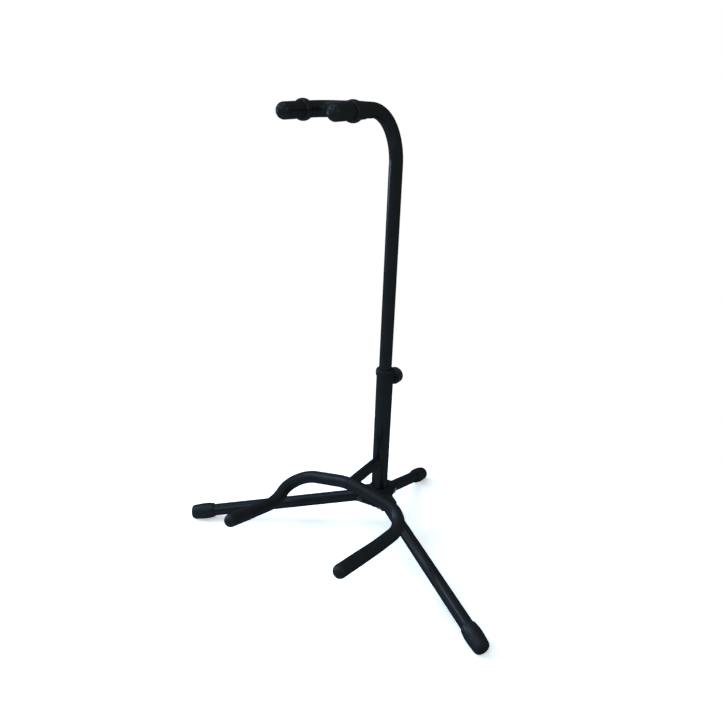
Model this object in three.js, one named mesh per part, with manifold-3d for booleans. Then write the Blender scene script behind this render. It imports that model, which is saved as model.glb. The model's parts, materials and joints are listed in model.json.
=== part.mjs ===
// A guitar stand: a telescopic mast on three folding legs, a padded cradle
// for the body and a padded yoke for the neck.
// Millimetres, +Z up. The cradle and the yoke face -Y. The origin is the
// middle of the footprint, on the floor.

import * as THREE from 'three';
import { mergeVertices } from 'three/addons/utils/BufferGeometryUtils.js';
import Module from 'manifold-3d';

const { lerp, degToRad } = THREE.MathUtils;

const wasm = await Module();
wasm.setup();

// Clearances

const fitGap = 0.3;
const cutOverrun = 3;

// Mast

const lowerTubeRadius = 12.7;
const lowerTubeWall = 1.2;
const lowerTubeTop = 261;
const upperTubeRadius = 9.5;
const upperTubeWall = 1.2;
const upperTubeBottom = 170;
const gooseneckHeight = 628.6;
const gooseneckBend = 67;

const plugFlangeHeight = 2.4;
const plugStemLength = 12;
const plugEdge = 0.8;

const bushingRadius = 14;
const bushingHeight = 10.8;
const bushingEdge = 3;
const bushingSkirt = 8;

const guideFlangeHeight = 8;
const guideStemLength = 14;
const guideEdge = 1;

// Height clamp, behind the mast

const clampDrop = 11;
const clampScrewRadius = 3;
const clampScrewLength = 24;
const screwTipLength = 1.5;
const bossRadius = 7;
const bossReach = 8.4;
const knobRadius = 12.6;
const knobFluteDepth = 0.7;
const knobGripLength = 12;
const knobNeckRadius = 8;
const knobNeckLength = 2.4;
const knobEdge = 1.6;
const knobDish = 1.2;

// Hub and legs. A leg's line meets the mast's axis at the hub's height.

const hubHeight = 54;
const hubAbove = 13;
const hubBelow = 19;
const hubWall = 4.2;
const hubEdge = 1.5;
const pivotRadius = 31;
const channelReach = 9;
const channelWall = 1.5;
const channelSideGap = 0.4;
const channelDrop = 5.5;
const channelRound = 5.5;
const gussetDrop = 15;
const rivetRadius = 2.8;
const rivetHeadRadius = 5.2;
const rivetHeadHeight = 2.4;

const legRadius = 9.4;
const legWall = 1.2;
const frontLegReach = 302;
const rearLegReach = 161;
const frontLegSplay = degToRad(56.7);

const footLength = 36;
const footRimRadius = 10.9;
const footBellyRadius = 12.5;
const footTipRadius = 10.8;
const footRimEdge = 1.2;
const footTipEdge = 2.2;
const footFloor = 7;
const footRiseShare = 0.33;
const footTaperShare = 0.25;
const footFlatDepth = 0.6;

// Cradle. Its tube is bent at the apex, the shoulders and the knees.

const cradleTubeRadius = 6;
const cradleTubeWall = 1.2;
const cradleSleeveRadius = 9.25;
const apexForward = 89;
const apexHeight = 119.3;
const apexBend = 104;
const shoulderHalfWidth = 103.6;
const shoulderForward = 86.4;
const shoulderHeight = 95.6;
const shoulderBend = 34;
const kneeHalfWidth = 88.3;
const kneeForward = 153.5;
const kneeHeight = 86.6;
const kneeBend = 85;
const armTipHalfWidth = 88.8;
const armTipForward = 245.5;
const armTipHeight = 109;

// Strut from the mast to the cradle, and the bolt that holds it

const strutRadius = 8;
const strutWall = 1.2;
const insertLength = 18;
const boltRadius = 3;
const boltReach = 26;
const boltHeadRadius = 6.5;
const boltHeadHeight = 5;
const washerRadius = 7.4;
const washerThickness = 1.2;

// Yoke. Its rod is bent twice, and a rubber ring sits on each prong.

const yokeTubeRadius = 5.5;
const yokeTubeWall = 1.1;
const yokeSleeveRadius = 9.2;
const yokeForward = 122.6;
const yokeHalfWidth = 33.2;
const yokeBend = 20;
const yokeDroop = degToRad(3);
const prongTipForward = 192;
const ringRadius = 12.1;
const ringWidth = 12;
const ringForward = 158.8;
const ringLip = 1.4;

// How finely round pieces are cut

const mastSides = 24;
const legSides = 20;
const sleeveSides = 18;
const smallSides = 14;
const knobFlutes = 18;
const ringSteps = 6;
const channelArcSteps = 5;
const slopeRounds = 12;
const bendStep = degToRad(15);
const domeShares = [0.25, 0.5, 0.75, 1];

// Places worked out from the sizes above

const lowerTubeBore = lowerTubeRadius - lowerTubeWall;
const upperTubeBore = upperTubeRadius - upperTubeWall;
const hubRadius = lowerTubeRadius + fitGap + hubWall;
const hubBottom = hubHeight - hubBelow;
const hubTop = hubHeight + hubAbove;
const lowerTubeBottom = hubBottom + plugFlangeHeight;
const clampHeight = lowerTubeTop - clampDrop;

// Finishes

function finish(color, roughness, metalness) {
  return new THREE.MeshStandardMaterial({ color, roughness, metalness });
}

const blackPaint = () => finish(0x1b1d20, 0.42, 0.3);
const blackFoam = () => finish(0x17181a, 0.85, 0);
const blackRubber = () => finish(0x141516, 0.75, 0);
const blackPlastic = () => finish(0x1a1b1d, 0.55, 0);
const zincPlate = () => finish(0x6a6c70, 0.4, 0.9);

// Solids

function toSolid(geometry) {
  const bare = geometry.clone();
  bare.deleteAttribute('normal');
  bare.deleteAttribute('uv');
  const merged = mergeVertices(bare);
  const index = merged.index.array;
  const triangles = [];
  for (let i = 0; i < index.length; i += 3) {
    const [a, b, c] = [index[i], index[i + 1], index[i + 2]];
    if (a !== b && b !== c && c !== a) {
      triangles.push(a, b, c);
    }
  }
  const mesh = new wasm.Mesh({
    numProp: 3,
    vertProperties: new Float32Array(merged.attributes.position.array),
    triVerts: new Uint32Array(triangles),
  });
  return new wasm.Manifold(mesh);
}

function toGeometry(solid) {
  const mesh = solid.getMesh();
  const geometry = new THREE.BufferGeometry();
  geometry.setAttribute('position', new THREE.Float32BufferAttribute(mesh.vertProperties, 3));
  geometry.setIndex(Array.from(mesh.triVerts));
  return geometry;
}

function cut(geometry, ...tools) {
  let solid = toSolid(geometry);
  for (const tool of tools) {
    solid = solid.subtract(toSolid(tool));
  }
  return toGeometry(solid);
}

function join(geometry, ...others) {
  let solid = toSolid(geometry);
  for (const other of others) {
    solid = solid.add(toSolid(other));
  }
  return toGeometry(solid);
}

function common(geometry, other) {
  return toGeometry(toSolid(geometry).intersect(toSolid(other)));
}

// A turned piece about +Z. The profile's points are [radius, height], with
// the material on the left of the line from one point to the next.
function turned(profile, sides) {
  const points = profile.map(([radius, height]) => new THREE.Vector2(radius, height));
  return new THREE.LatheGeometry(points, sides).rotateX(Math.PI / 2);
}

function rod(radius, from, to, sides) {
  return turned([[0, from], [radius, from], [radius, to], [0, to]], sides);
}

function pipe(radius, bore, from, to, sides) {
  return turned([[bore, from], [radius, from], [radius, to], [bore, to], [bore, from]], sides);
}

// A rod along Y, at a height above the origin
function crossRod(radius, from, to, height, sides) {
  return rod(radius, from, to, sides).rotateX(-Math.PI / 2).translate(0, 0, height);
}

// A box that is centred across Y
function block(fromX, toX, halfWidth, fromZ, toZ) {
  const box = new THREE.BoxGeometry(toX - fromX, halfWidth * 2, toZ - fromZ);
  return box.translate((fromX + toX) / 2, 0, (fromZ + toZ) / 2);
}

// A path of straight runs joined by round bends. It knows its length, the
// places where a bent tube needs a ring, and the frame at any place.
class BentPath {
  constructor(corners, bends) {
    this.places = [0];
    this.frames = [];
    this.length = 0;
    this.runs = [];
    let start = corners[0];
    for (let i = 1; i < corners.length - 1; i += 1) {
      start = this.addBend(start, corners[i], corners[i + 1], bends[i - 1]);
    }
    this.addRun(start, corners[corners.length - 1]);
    this.layFrames();
  }

  addRun(start, end) {
    const tangent = end.clone().sub(start).normalize();
    const from = this.length;
    this.length += start.distanceTo(end);
    this.runs.push({ from, to: this.length, start, tangent });
    this.places.push(this.length);
  }

  addBend(start, corner, next, bend) {
    const before = corner.clone().sub(start).normalize();
    const after = next.clone().sub(corner).normalize();
    const turn = before.angleTo(after);
    const setback = bend * Math.tan(turn / 2);
    const entry = corner.clone().addScaledVector(before, -setback);
    this.addRun(start, entry);
    const axis = before.clone().cross(after).normalize();
    const spoke = before.clone().cross(axis).multiplyScalar(bend);
    const centre = entry.clone().sub(spoke);
    const from = this.length;
    const steps = 2 * Math.ceil(turn / bendStep / 2);
    for (let k = 1; k <= steps; k += 1) {
      this.places.push(from + bend * turn * k / steps);
    }
    this.length = from + bend * turn;
    this.runs.push({ from, to: this.length, centre, spoke, axis, bend, tangent: before });
    return spoke.clone().applyAxisAngle(axis, turn).add(centre);
  }

  // The point and the direction at a place along the path
  at(place) {
    const runs = this.runs;
    const run = runs.find((each) => place <= each.to) || runs[runs.length - 1];
    const along = place - run.from;
    if (!run.centre) {
      const point = run.start.clone().addScaledVector(run.tangent, along);
      return { point, tangent: run.tangent.clone() };
    }
    const turn = along / run.bend;
    const point = run.spoke.clone().applyAxisAngle(run.axis, turn).add(run.centre);
    return { point, tangent: run.tangent.clone().applyAxisAngle(run.axis, turn) };
  }

  layFrames() {
    let { tangent } = this.at(0);
    const up = new THREE.Vector3(0, 0, 1);
    const level = Math.abs(tangent.z) < Math.SQRT1_2;
    const side = level ? up : new THREE.Vector3(1, 0, 0);
    let normal = side.addScaledVector(tangent, -side.dot(tangent)).normalize();
    for (const place of this.places) {
      const next = this.at(place).tangent;
      normal = turnWith(normal, tangent, next);
      this.frames.push({ place, tangent: next, normal });
      tangent = next;
    }
  }

  frame(place) {
    const { point, tangent } = this.at(place);
    let near = this.frames[0];
    for (const each of this.frames) {
      if (each.place <= place) {
        near = each;
      }
    }
    const normal = turnWith(near.normal, near.tangent, tangent);
    return { point, normal, binormal: tangent.clone().cross(normal) };
  }

  // The rings that a tube needs between two places
  rings(from, to) {
    return [from, ...this.places.filter((place) => place > from && place < to), to];
  }
}

function turnWith(normal, tangent, next) {
  const turn = new THREE.Quaternion().setFromUnitVectors(tangent, next);
  return normal.clone().applyQuaternion(turn);
}

// Bends a turned piece whose axis is +Z along a path.
function bendAlong(geometry, path) {
  const position = geometry.attributes.position;
  for (let i = 0; i < position.count; i += 1) {
    const { point, normal, binormal } = path.frame(position.getZ(i));
    point.addScaledVector(normal, position.getX(i));
    point.addScaledVector(binormal, position.getY(i));
    position.setXYZ(i, point.x, point.y, point.z);
  }
  return geometry;
}

function bentRod(path, radius, from, to, sides) {
  const wall = path.rings(from, to).map((place) => [radius, place]);
  return bendAlong(turned([[0, from], ...wall, [0, to]], sides), path);
}

function bentPipe(path, radius, bore, from, to, sides) {
  const places = path.rings(from, to);
  const outside = places.map((place) => [radius, place]);
  const inside = places.map((place) => [bore, place]).reverse();
  return bendAlong(turned([...outside, ...inside, outside[0]], sides), path);
}

// A sleeve that is open at one place and ends in a dome over the path's end
function domedSleeve(path, radius, bore, from, boreEnd, sides) {
  const outside = path.rings(from, path.length).map((place) => [radius, place]);
  const inside = path.rings(from, boreEnd).map((place) => [bore, place]).reverse();
  const dome = domeShares.map((share) => {
    const lift = share * Math.PI / 2;
    return [Math.cos(lift) * radius, path.length + Math.sin(lift) * radius];
  });
  dome[dome.length - 1][0] = 0;
  return bendAlong(turned([[0, boreEnd], ...inside, ...outside, ...dome], sides), path);
}

// Named pieces

const stand = new THREE.Group();

function addPiece(name, geometry, material, parent = stand) {
  const mesh = new THREE.Mesh(geometry, material);
  mesh.name = name;
  parent.add(mesh);
  return mesh;
}

// The mast's lower tube, with its holes for the strut's bolt and the clamp

const strutHeight = cradleApex().z;

// The lower tube with clearance all round, to be cut from what touches it
function mastRoom() {
  return rod(lowerTubeRadius + fitGap, hubBottom - cutOverrun, lowerTubeTop + cutOverrun, mastSides);
}

function lowerTube() {
  const tube = pipe(lowerTubeRadius, lowerTubeBore, lowerTubeBottom, lowerTubeTop, mastSides);
  const through = lowerTubeRadius + cutOverrun;
  const boltHole = crossRod(boltRadius + fitGap, -through, through, strutHeight, smallSides);
  const clampHole = crossRod(clampScrewRadius + fitGap, 0, through, clampHeight, smallSides);
  return cut(tube, boltHole, clampHole);
}

function basePlug() {
  const stemRadius = lowerTubeBore - fitGap;
  const flangeTop = lowerTubeBottom - fitGap;
  return turned([
    [0, hubBottom],
    [lowerTubeRadius - plugEdge, hubBottom],
    [lowerTubeRadius, hubBottom + plugEdge],
    [lowerTubeRadius, flangeTop],
    [stemRadius, flangeTop],
    [stemRadius, flangeTop + plugStemLength],
    [0, flangeTop + plugStemLength],
  ], mastSides);
}

function collarBushing() {
  const seat = lowerTubeTop + fitGap;
  const top = seat + bushingHeight;
  const bore = upperTubeRadius + fitGap;
  const skirtRadius = lowerTubeBore - fitGap;
  const bevel = bushingEdge * (1 - Math.SQRT1_2);
  return turned([
    [bore, seat - bushingSkirt],
    [skirtRadius, seat - bushingSkirt],
    [skirtRadius, seat],
    [bushingRadius, seat],
    [bushingRadius, top - bushingEdge],
    [bushingRadius - bevel, top - bevel],
    [bushingRadius - bushingEdge, top],
    [bore, top],
    [bore, seat - bushingSkirt],
  ], mastSides);
}

addPiece('mast_lower_tube', lowerTube(), blackPaint());
addPiece('mast_base_plug', basePlug(), blackPlastic());
addPiece('mast_collar_bushing', collarBushing(), blackPlastic());

// The hub: a collar round the lower tube with a channel over each leg.
// A leg rests against the roof of its channel, and folds down from it.

// The slope at which a leg's foot rests on the floor, found step by step
function legSlope(reach) {
  let slope = 0;
  for (let i = 0; i < slopeRounds; i += 1) {
    const rim = footTipRadius * Math.cos(slope) - footTipEdge * Math.sin(slope);
    slope = Math.atan2(hubHeight - rim + footFlatDepth, reach);
  }
  return slope;
}

const legs = [
  { side: 'front_right', heading: frontLegSplay - Math.PI / 2, reach: frontLegReach },
  { side: 'front_left', heading: -Math.PI / 2 - frontLegSplay, reach: frontLegReach },
  { side: 'rear', heading: Math.PI / 2, reach: rearLegReach },
].map((leg) => {
  const slope = legSlope(leg.reach);
  const lineLength = (leg.reach - pivotRadius) / Math.cos(slope);
  return { ...leg, slope, lineLength };
});

// Puts a leg's own frame, with +X along the leg from its rivet, on the stand.
function atPivot(geometry, leg) {
  geometry.rotateY(leg.slope);
  geometry.translate(pivotRadius, 0, hubHeight - pivotRadius * Math.tan(leg.slope));
  return geometry.rotateZ(leg.heading);
}

const channelHalfBore = legRadius + channelSideGap;
const channelHalfWidth = channelHalfBore + channelWall;
const roofBottom = legRadius + fitGap;
const roofTop = roofBottom + channelWall;

// The channel's outline seen from its side, extruded across the leg
function channelBlock() {
  const arcX = channelReach - channelRound;
  const arcZ = channelRound - channelDrop;
  const outline = new THREE.Shape();
  outline.moveTo(-pivotRadius, -gussetDrop);
  outline.lineTo(hubRadius - pivotRadius, -gussetDrop);
  outline.lineTo(arcX, -channelDrop);
  outline.absarc(arcX, arcZ, channelRound, -Math.PI / 2, 0, false);
  outline.lineTo(channelReach, roofTop);
  outline.lineTo(-pivotRadius, roofTop);
  outline.closePath();
  const solid = new THREE.ExtrudeGeometry(outline, {
    depth: channelHalfWidth * 2,
    bevelEnabled: false,
    curveSegments: channelArcSteps,
  });
  return solid.rotateX(Math.PI / 2).translate(0, channelHalfWidth, 0);
}

function acrossLeg(radius, halfLength, sides) {
  return crossRod(radius, -halfLength, halfLength, 0, sides);
}

function hubCollar() {
  let hub = turned([
    [0, hubBottom],
    [hubRadius - hubEdge, hubBottom],
    [hubRadius, hubBottom + hubEdge],
    [hubRadius, hubTop - hubEdge],
    [hubRadius - hubEdge, hubTop],
    [0, hubTop],
  ], mastSides);
  for (const leg of legs) {
    hub = join(hub, atPivot(channelBlock(), leg));
  }
  const collar = rod(hubRadius, hubBottom, hubTop, mastSides);
  const outer = channelReach + cutOverrun;
  const bottom = -hubBelow - cutOverrun;
  for (const leg of legs) {
    const room = block(-pivotRadius, outer, channelHalfBore, bottom, roofBottom);
    const hole = acrossLeg(rivetRadius + fitGap, channelHalfWidth + cutOverrun, smallSides);
    hub = cut(hub, cut(atPivot(room, leg), collar), atPivot(hole, leg));
  }
  return cut(hub, mastRoom());
}

addPiece('hub_collar', hubCollar(), blackPlastic());

// Legs, each with its rivet and its foot

function legTube(leg) {
  const end = leg.lineLength - footFloor;
  const tube = pipe(legRadius, legRadius - legWall, -legRadius, end, legSides).rotateY(Math.PI / 2);
  const wide = legRadius + cutOverrun;
  const straight = block(0, end + cutOverrun, wide, -wide, wide);
  const roundEnd = acrossLeg(legRadius, wide, legSides);
  const shaped = common(tube, join(straight, roundEnd));
  return cut(shaped, acrossLeg(rivetRadius + fitGap, wide, smallSides));
}

function rivet() {
  const seat = channelHalfWidth + fitGap;
  const tip = seat + rivetHeadHeight;
  const brow = rivetHeadRadius * Math.SQRT1_2;
  const shoulder = seat + rivetHeadHeight * Math.SQRT1_2;
  const profile = [
    [0, -tip],
    [brow, -shoulder],
    [rivetHeadRadius, -seat],
    [rivetRadius, -seat],
    [rivetRadius, seat],
    [rivetHeadRadius, seat],
    [brow, shoulder],
    [0, tip],
  ];
  return turned(profile, smallSides).rotateX(Math.PI / 2);
}

function footCap(leg) {
  const tip = leg.lineLength;
  const rim = tip - footLength;
  const bore = legRadius + fitGap;
  const belly = tip - footLength / 2;
  const boreEnd = tip - footFloor + fitGap;
  const cap = turned([
    [0, boreEnd],
    [bore, boreEnd],
    [bore, rim],
    [footRimRadius - footRimEdge / 2, rim],
    [footRimRadius, rim + footRimEdge],
    [(footRimRadius + footBellyRadius) / 2, lerp(rim, belly, footRiseShare)],
    [footBellyRadius, belly],
    [lerp(footBellyRadius, footTipRadius, footTaperShare), (belly + tip) / 2],
    [footTipRadius, tip - footTipEdge],
    [footTipRadius - footTipEdge, tip],
    [0, tip],
  ], legSides).rotateY(Math.PI / 2);
  const corner = -footTipRadius * Math.cos(leg.slope) - (tip - footTipEdge) * Math.sin(leg.slope);
  const floor = corner + footFlatDepth;
  const ground = block(rim - footLength, tip + footLength, footLength, floor - footLength, floor);
  return cut(cap, ground.rotateY(-leg.slope));
}

for (const leg of legs) {
  addPiece(`leg_tube_${leg.side}`, atPivot(legTube(leg), leg), blackPaint());
  addPiece(`leg_rivet_${leg.side}`, atPivot(rivet(), leg), zincPlate());
  addPiece(`foot_cap_${leg.side}`, atPivot(footCap(leg), leg), blackRubber());
}

// Cradle

function cradlePath(side) {
  const tip = new THREE.Vector3(side * armTipHalfWidth, -armTipForward, armTipHeight);
  const knee = new THREE.Vector3(side * kneeHalfWidth, -kneeForward, kneeHeight);
  const shoulder = new THREE.Vector3(side * shoulderHalfWidth, -shoulderForward, shoulderHeight);
  const apex = new THREE.Vector3(0, -apexForward, apexHeight);
  const mirror = (point) => new THREE.Vector3(-point.x, point.y, point.z);
  const corners = [mirror(tip), mirror(knee), mirror(shoulder), apex, shoulder, knee, tip];
  return new BentPath(corners, [kneeBend, shoulderBend, apexBend, shoulderBend, kneeBend]);
}

function cradleApex() {
  const path = cradlePath(1);
  return path.at(path.length / 2).point;
}

// The strut's mouth fits over the cradle's tube, between the two sleeves.
const strutMouth = cradleApex().y + cradleTubeRadius / 2;

function cradleSleeve(side) {
  const path = cradlePath(side);
  const from = path.length / 2 + fitGap / 2;
  const boreEnd = path.length + fitGap;
  const bore = cradleTubeRadius + fitGap;
  const sleeve = domedSleeve(path, cradleSleeveRadius, bore, from, boreEnd, sleeveSides);
  const strutRoom = crossRod(strutRadius + fitGap, strutMouth, 0, strutHeight, legSides);
  return cut(sleeve, strutRoom);
}

const cradle = cradlePath(1);
const cradleBore = cradleTubeRadius - cradleTubeWall;
const cradleTube = bentPipe(cradle, cradleTubeRadius, cradleBore, 0, cradle.length, smallSides);
addPiece('cradle_tube', cradleTube, blackPaint());
addPiece('cradle_sleeve_right', cradleSleeve(1), blackFoam());
addPiece('cradle_sleeve_left', cradleSleeve(-1), blackFoam());

// Strut

function strut() {
  const mouth = strutMouth + fitGap;
  const bore = strutRadius - strutWall;
  const outer = crossRod(strutRadius, mouth, 0, strutHeight, legSides);
  const inner = crossRod(bore, mouth - cutOverrun, cutOverrun, strutHeight, legSides);
  const tube = bentRod(cradle, cradleTubeRadius + fitGap, 0, cradle.length, smallSides);
  return cut(outer, inner, mastRoom(), tube);
}

function strutInsert() {
  const rear = -lowerTubeRadius - fitGap;
  const front = rear - insertLength;
  const radius = strutRadius - strutWall - fitGap;
  const plug = crossRod(radius, front, 0, strutHeight, legSides);
  const thread = crossRod(boltRadius + fitGap, front - cutOverrun, 0, strutHeight, smallSides);
  return cut(plug, mastRoom(), thread);
}

function washer() {
  const near = lowerTubeRadius + fitGap;
  const disc = pipe(washerRadius, boltRadius + fitGap, near, near + washerThickness, legSides);
  return disc.rotateX(-Math.PI / 2).translate(0, 0, strutHeight);
}

function strutBolt() {
  const seat = lowerTubeRadius + fitGap * 2 + washerThickness;
  const top = seat + boltHeadHeight;
  const brow = boltHeadRadius * Math.SQRT1_2;
  const bolt = turned([
    [0, -boltReach],
    [boltRadius, -boltReach],
    [boltRadius, seat],
    [boltHeadRadius, seat],
    [boltHeadRadius, seat + boltHeadHeight / 2],
    [brow, top],
    [0, top],
  ], smallSides);
  return bolt.rotateX(-Math.PI / 2).translate(0, 0, strutHeight);
}

addPiece('cradle_strut', strut(), blackPaint());
addPiece('strut_insert', strutInsert(), zincPlate());
addPiece('strut_washer', washer(), zincPlate());
addPiece('strut_bolt', strutBolt(), zincPlate());

// Height clamp

const knobSeat = lowerTubeRadius + bossReach + fitGap;
const screwTip = upperTubeRadius + fitGap;

function boss() {
  const outer = crossRod(bossRadius, 0, lowerTubeRadius + bossReach, clampHeight, legSides);
  const bore = crossRod(clampScrewRadius + fitGap, 0, knobSeat + cutOverrun, clampHeight, smallSides);
  return cut(outer, mastRoom(), bore);
}

function clampScrew() {
  const end = screwTip + clampScrewLength;
  const screw = turned([
    [0, screwTip],
    [clampScrewRadius - screwTipLength / 2, screwTip],
    [clampScrewRadius, screwTip + screwTipLength],
    [clampScrewRadius, end],
    [0, end],
  ], smallSides);
  return screw.rotateX(-Math.PI / 2).translate(0, 0, clampHeight);
}

function knob() {
  const outline = new THREE.Shape();
  const fluteAngle = Math.PI * 2 / knobFlutes;
  const valley = knobRadius - knobFluteDepth - knobEdge;
  const crest = knobRadius - knobEdge;
  for (let k = 0; k < knobFlutes; k += 1) {
    const angle = fluteAngle * k;
    const corners = [[valley, 0], [crest, fluteAngle / 3], [crest, fluteAngle * 2 / 3]];
    for (const [radius, offset] of corners) {
      const x = Math.cos(angle + offset) * radius;
      const y = Math.sin(angle + offset) * radius;
      if (k === 0 && offset === 0) {
        outline.moveTo(x, y);
      } else {
        outline.lineTo(x, y);
      }
    }
  }
  outline.closePath();
  const grip = new THREE.ExtrudeGeometry(outline, {
    depth: knobGripLength - knobEdge * 2,
    bevelThickness: knobEdge,
    bevelSize: knobEdge,
    bevelSegments: 1,
  });
  const gripStart = knobSeat + knobNeckLength;
  const gripEnd = gripStart + knobGripLength;
  grip.translate(0, 0, gripStart + knobEdge);
  const neck = rod(knobNeckRadius, knobSeat, gripStart + knobEdge, legSides);
  const dish = turned([
    [0, gripEnd - knobDish],
    [knobNeckRadius - knobDish, gripEnd - knobDish],
    [knobNeckRadius, gripEnd + cutOverrun],
    [0, gripEnd + cutOverrun],
  ], legSides);
  const screwEnd = screwTip + clampScrewLength;
  const hole = rod(clampScrewRadius + fitGap, knobSeat - cutOverrun, screwEnd + fitGap, smallSides);
  const solid = cut(join(grip, neck), dish, hole);
  return solid.rotateX(-Math.PI / 2).translate(0, 0, clampHeight);
}

addPiece('knob_boss', boss(), blackPaint());
addPiece('knob_screw', clampScrew(), zincPlate());
addPiece('height_knob', knob(), blackPlastic());

// The upper tube, bent forward at the top, and the guide at its lower end

function upperTube() {
  const end = -yokeForward + yokeTubeRadius / 2 + fitGap;
  const path = new BentPath([
    new THREE.Vector3(0, 0, upperTubeBottom),
    new THREE.Vector3(0, 0, gooseneckHeight),
    new THREE.Vector3(0, end, gooseneckHeight),
  ], [gooseneckBend]);
  const tube = bentPipe(path, upperTubeRadius, upperTubeBore, 0, path.length, mastSides);
  const wide = upperTubeRadius + cutOverrun;
  const seat = rod(yokeTubeRadius + fitGap, -wide, wide, smallSides).rotateY(Math.PI / 2);
  return cut(tube, seat.translate(0, -yokeForward, gooseneckHeight));
}

function guide() {
  const stemRadius = upperTubeBore - fitGap;
  const flangeRadius = lowerTubeBore - fitGap;
  const flangeTop = upperTubeBottom - fitGap;
  const flangeBottom = flangeTop - guideFlangeHeight;
  return turned([
    [0, flangeBottom],
    [flangeRadius - guideEdge, flangeBottom],
    [flangeRadius, flangeBottom + guideEdge],
    [flangeRadius, flangeTop],
    [stemRadius, flangeTop],
    [stemRadius, flangeTop + guideStemLength],
    [0, flangeTop + guideStemLength],
  ], mastSides);
}

addPiece('mast_upper_tube', upperTube(), blackPaint());
addPiece('upper_tube_guide', guide(), blackPlastic());

// Yoke, in a frame of its own at the middle of its cross bar

const prongLength = prongTipForward - yokeForward;
const onGooseneck = new THREE.Group();
onGooseneck.position.set(0, -yokeForward, gooseneckHeight);
onGooseneck.rotation.x = yokeDroop;
stand.add(onGooseneck);

function yokePath(side) {
  const point = (x, y) => new THREE.Vector3(side * x, y, 0);
  const corners = [
    point(-yokeHalfWidth, -prongLength),
    point(-yokeHalfWidth, 0),
    point(yokeHalfWidth, 0),
    point(yokeHalfWidth, -prongLength),
  ];
  return new BentPath(corners, [yokeBend, yokeBend]);
}

function yokeSleeve(side) {
  const path = yokePath(side);
  const from = path.length / 2 + fitGap / 2;
  const boreEnd = path.length + fitGap;
  const bore = yokeTubeRadius + fitGap;
  const sleeve = domedSleeve(path, yokeSleeveRadius, bore, from, boreEnd, sleeveSides);
  const back = yokeSleeveRadius + cutOverrun;
  const notch = crossRod(upperTubeRadius + fitGap, yokeTubeRadius / 2, back, 0, mastSides);
  return cut(sleeve, notch.rotateX(-yokeDroop));
}

function yokeRing(side) {
  const bore = yokeSleeveRadius + fitGap;
  const half = ringWidth / 2;
  const crown = ringRadius - bore - ringLip;
  const outline = [[bore, -half]];
  for (let k = 0; k <= ringSteps; k += 1) {
    const lift = Math.PI * k / ringSteps;
    outline.push([bore + ringLip + crown * Math.sin(lift), -half * Math.cos(lift)]);
  }
  const ring = turned([...outline, [bore, half], [bore, -half]], sleeveSides);
  return ring.rotateX(Math.PI / 2).translate(side * yokeHalfWidth, yokeForward - ringForward, 0);
}

const yoke = yokePath(1);
const yokeBore = yokeTubeRadius - yokeTubeWall;
const yokeTube = bentPipe(yoke, yokeTubeRadius, yokeBore, 0, yoke.length, smallSides);
addPiece('yoke_tube', yokeTube, blackPaint(), onGooseneck);
addPiece('yoke_sleeve_right', yokeSleeve(1), blackFoam(), onGooseneck);
addPiece('yoke_sleeve_left', yokeSleeve(-1), blackFoam(), onGooseneck);
addPiece('yoke_ring_right', yokeRing(1), blackRubber(), onGooseneck);
addPiece('yoke_ring_left', yokeRing(-1), blackRubber(), onGooseneck);

// The origin goes to the middle of the footprint.

const footprint = new THREE.Box3().setFromObject(stand, true);
stand.position.y = -(footprint.min.y + footprint.max.y) / 2;

export default stand;
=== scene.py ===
import json
import math

import bmesh
import bpy
from mathutils import Matrix, Vector


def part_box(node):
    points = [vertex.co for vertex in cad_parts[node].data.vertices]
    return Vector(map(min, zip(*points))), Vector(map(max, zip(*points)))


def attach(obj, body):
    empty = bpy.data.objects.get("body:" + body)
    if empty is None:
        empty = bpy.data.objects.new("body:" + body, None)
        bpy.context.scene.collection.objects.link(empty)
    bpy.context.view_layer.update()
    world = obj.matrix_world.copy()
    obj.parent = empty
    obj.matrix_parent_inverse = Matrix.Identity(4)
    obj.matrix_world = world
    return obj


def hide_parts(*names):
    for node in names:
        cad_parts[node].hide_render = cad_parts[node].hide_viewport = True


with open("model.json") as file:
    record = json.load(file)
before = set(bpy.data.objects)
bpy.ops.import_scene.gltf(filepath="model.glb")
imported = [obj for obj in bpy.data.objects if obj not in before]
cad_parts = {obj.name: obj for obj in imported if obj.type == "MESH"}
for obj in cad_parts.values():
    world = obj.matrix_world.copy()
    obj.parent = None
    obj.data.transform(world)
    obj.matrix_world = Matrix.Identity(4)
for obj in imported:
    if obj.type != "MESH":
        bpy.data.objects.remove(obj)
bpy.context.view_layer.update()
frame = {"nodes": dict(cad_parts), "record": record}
nodes = frame["nodes"]
joints = {joint["name"]: joint for joint in frame["record"]["behaviour"]["joints"]}

mm = 0.001  # the dictionaries of the pieces are in millimetres and degrees
mastLow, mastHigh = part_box("mast_lower_tube")
mastY = (mastLow.y + mastHigh.y) / 2
upward = Vector((0, 0, 1))
backward = Vector((0, 1, 0))
bothSides = {"right": 1, "left": -1}


def fromMast(x, y, z):  # a point measured from the foot of the mast's axis
    return Vector((x * mm, mastY + y * mm, z * mm))


# Routes: straight runs joined by round bends

fewestBendSteps = 4
bendReach = 3  # how far to each side a bend is measured
acrossLength = 60


def bentRoute(corners, bends, step=1.5, normal=upward):
    points = []
    start = corners[0]
    for i, bend in enumerate(bends):
        corner = corners[i + 1]
        before = (corner - start).normalized()
        after = (corners[i + 2] - corner).normalized()
        turn = before.angle(after)
        entry = corner - before * (bend * mm * math.tan(turn / 2))
        axis = before.cross(after).normalized()
        spoke = before.cross(axis) * (bend * mm)
        points += straightPoints(start, entry, step)
        count = max(fewestBendSteps, math.ceil(bend * turn / step))
        for k in range(count):
            points.append(entry - spoke + Matrix.Rotation(turn * k / count, 3, axis) @ spoke)
        start = entry - spoke + Matrix.Rotation(turn, 3, axis) @ spoke
    points += straightPoints(start, corners[-1], step) + [corners[-1]]
    return routeFrom(points, normal)


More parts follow.
